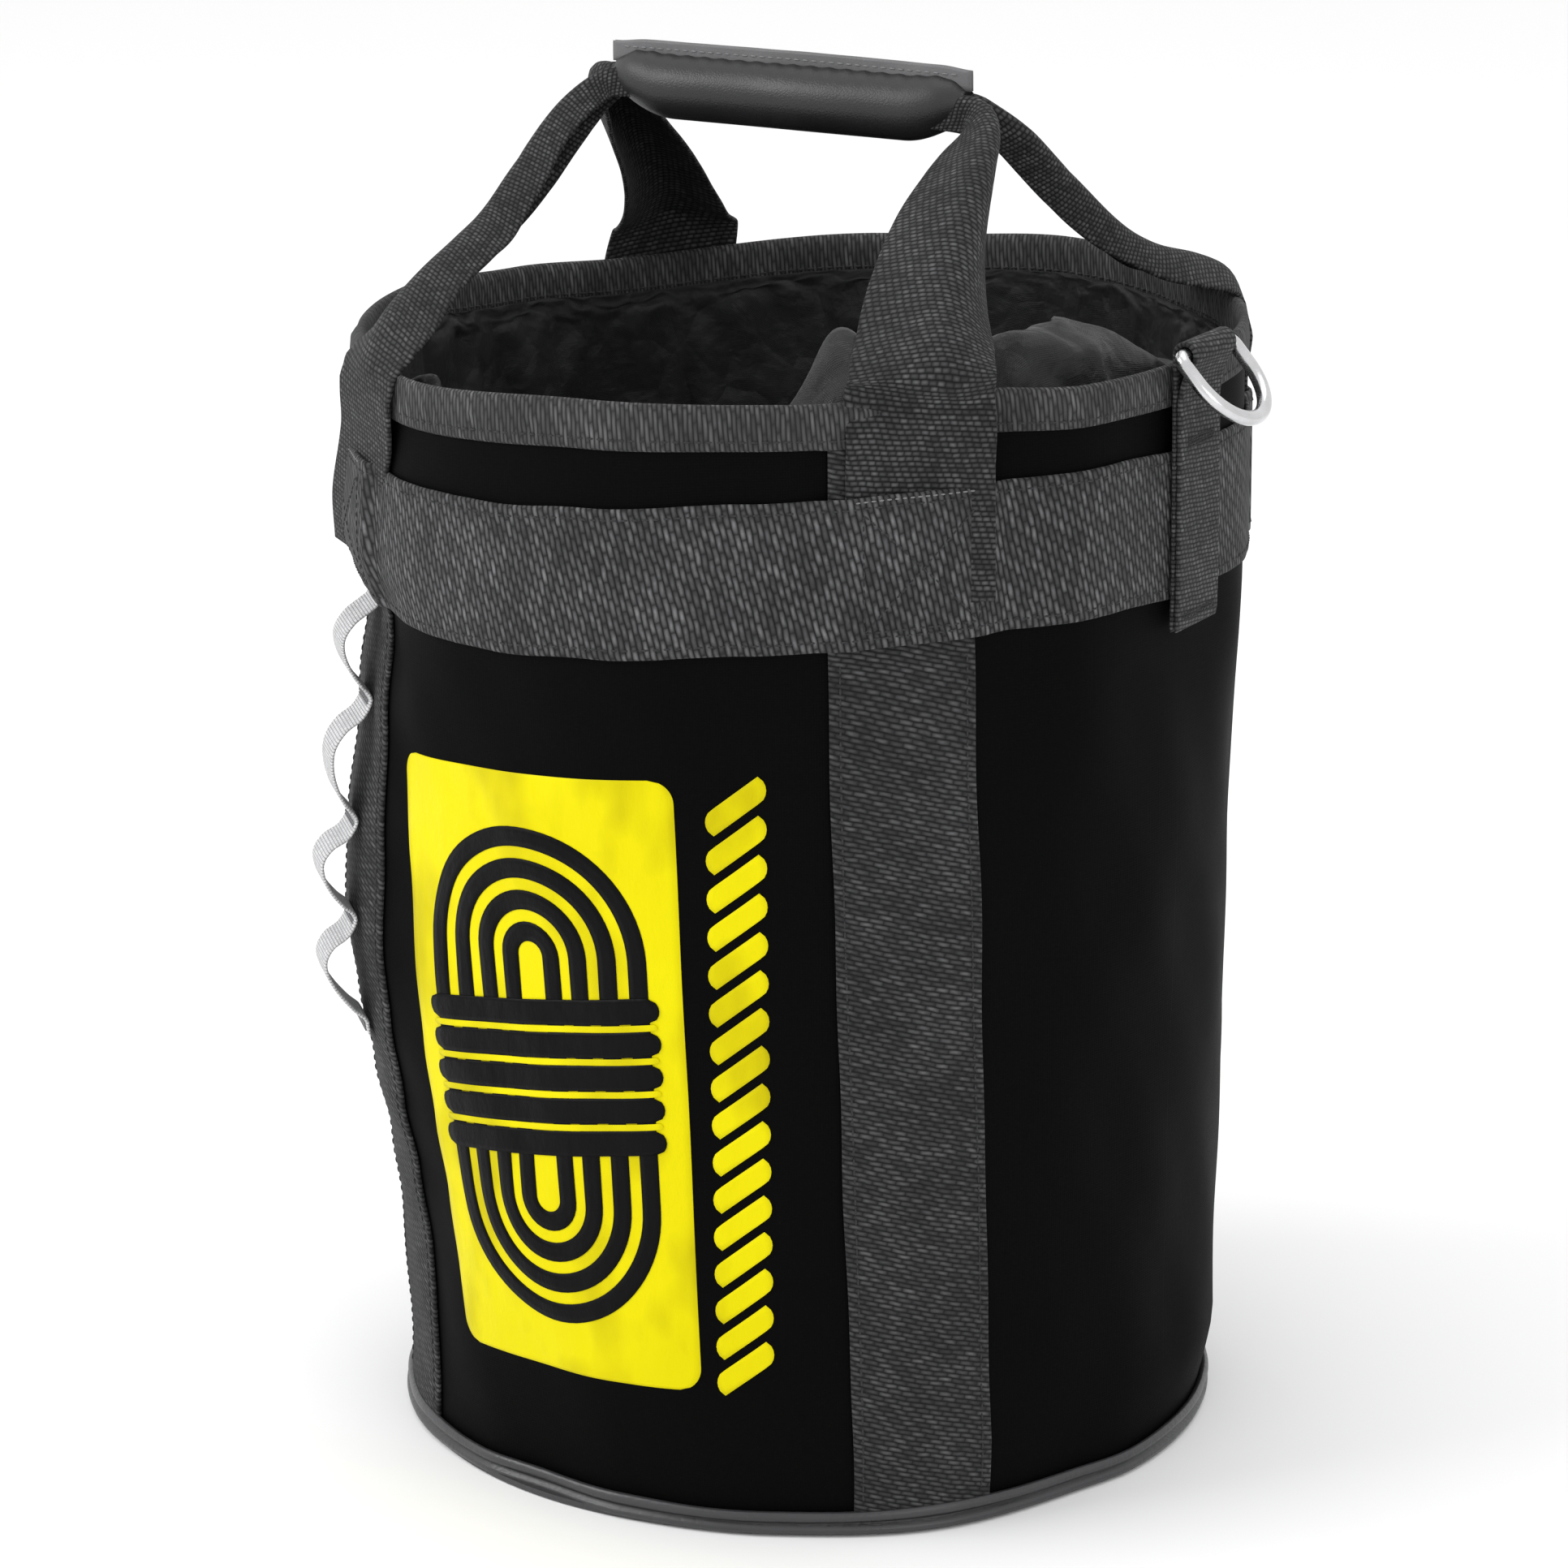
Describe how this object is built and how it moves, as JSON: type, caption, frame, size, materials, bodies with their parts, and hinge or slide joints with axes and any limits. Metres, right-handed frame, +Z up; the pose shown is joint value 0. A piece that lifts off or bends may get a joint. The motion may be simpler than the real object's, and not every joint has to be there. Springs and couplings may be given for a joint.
{
  "type": "rope storage bag",
  "caption": "Cylindrical rope storage bag with an open mouth, webbing reinforced wall, padded two-strap carrying grip, side D-ring and a chain of accessory loops.",
  "frame": {"origin": "centre of the base on the surface that the bag stands on", "axes": "+Z up the bag towards the mouth, -Y towards the printed front, +X towards the D-ring and along the grip"},
  "size_m": [0.3299, 0.3036, 0.48],
  "materials": {
    "tarpaulin": "black PVC-coated tarpaulin, faint sheen",
    "base_pvc": "dark grey PVC, smooth and slightly shiny",
    "binding_tape": "charcoal folded edge tape",
    "webbing": "charcoal coarse woven webbing",
    "narrow_webbing": "charcoal fine woven webbing",
    "grip_pvc": "black leather-grain PVC, soft sheen",
    "foam": "closed-cell foam",
    "ring_steel": "bright nickel-plated steel",
    "thread": "charcoal bonded thread",
    "daisy_tape": "light grey ribbed tape",
    "collar_nylon": "thin black nylon with a soft sheen",
    "print_yellow": "yellow printed film"
  },
  "bodies": {
    "root": {"body_wall": "tarpaulin", "base_disc": "base_pvc", "base_welt": "base_pvc", "rim_binding": "binding_tape", "upper_band": "webbing", "side_webbing_front_left": "webbing", "side_webbing_front_right": "webbing", "side_webbing_rear_right": "webbing", "side_webbing_rear_left": "webbing", "front_strap_leg_left": "webbing", "front_strap_leg_right": "webbing", "rear_strap_leg_right": "webbing", "rear_strap_leg_left": "webbing", "d_ring_tab": "narrow_webbing", "tab_bartack": "thread", "daisy_chain": "daisy_tape", "daisy_bartacks": "thread", "strap_box_stitches": "thread", "inner_collar": "collar_nylon", "collar_hem": "collar_nylon"},
    "handle": {"front_strap_run": "webbing", "rear_strap_run": "webbing", "grip_cover": "grip_pvc", "grip_pad": "foam"},
    "ring": {"d_ring": "ring_steel"}
  },
  "joints": [
    {"name": "handle_drop", "type": "slide", "parent": "root", "child": "handle", "axis": [0, 0, 1], "range_m": [-0.07, 0], "deforming": ["front_strap_leg_left", "front_strap_leg_right", "rear_strap_leg_left", "rear_strap_leg_right"]},
    {"name": "d_ring_swing", "type": "hinge", "parent": "root", "child": "ring", "pos_m": [0.15658, 0.00273, 0.394], "axis": [0.0175, -0.9998, 0], "range_deg": [-36, 210]}
  ]
}
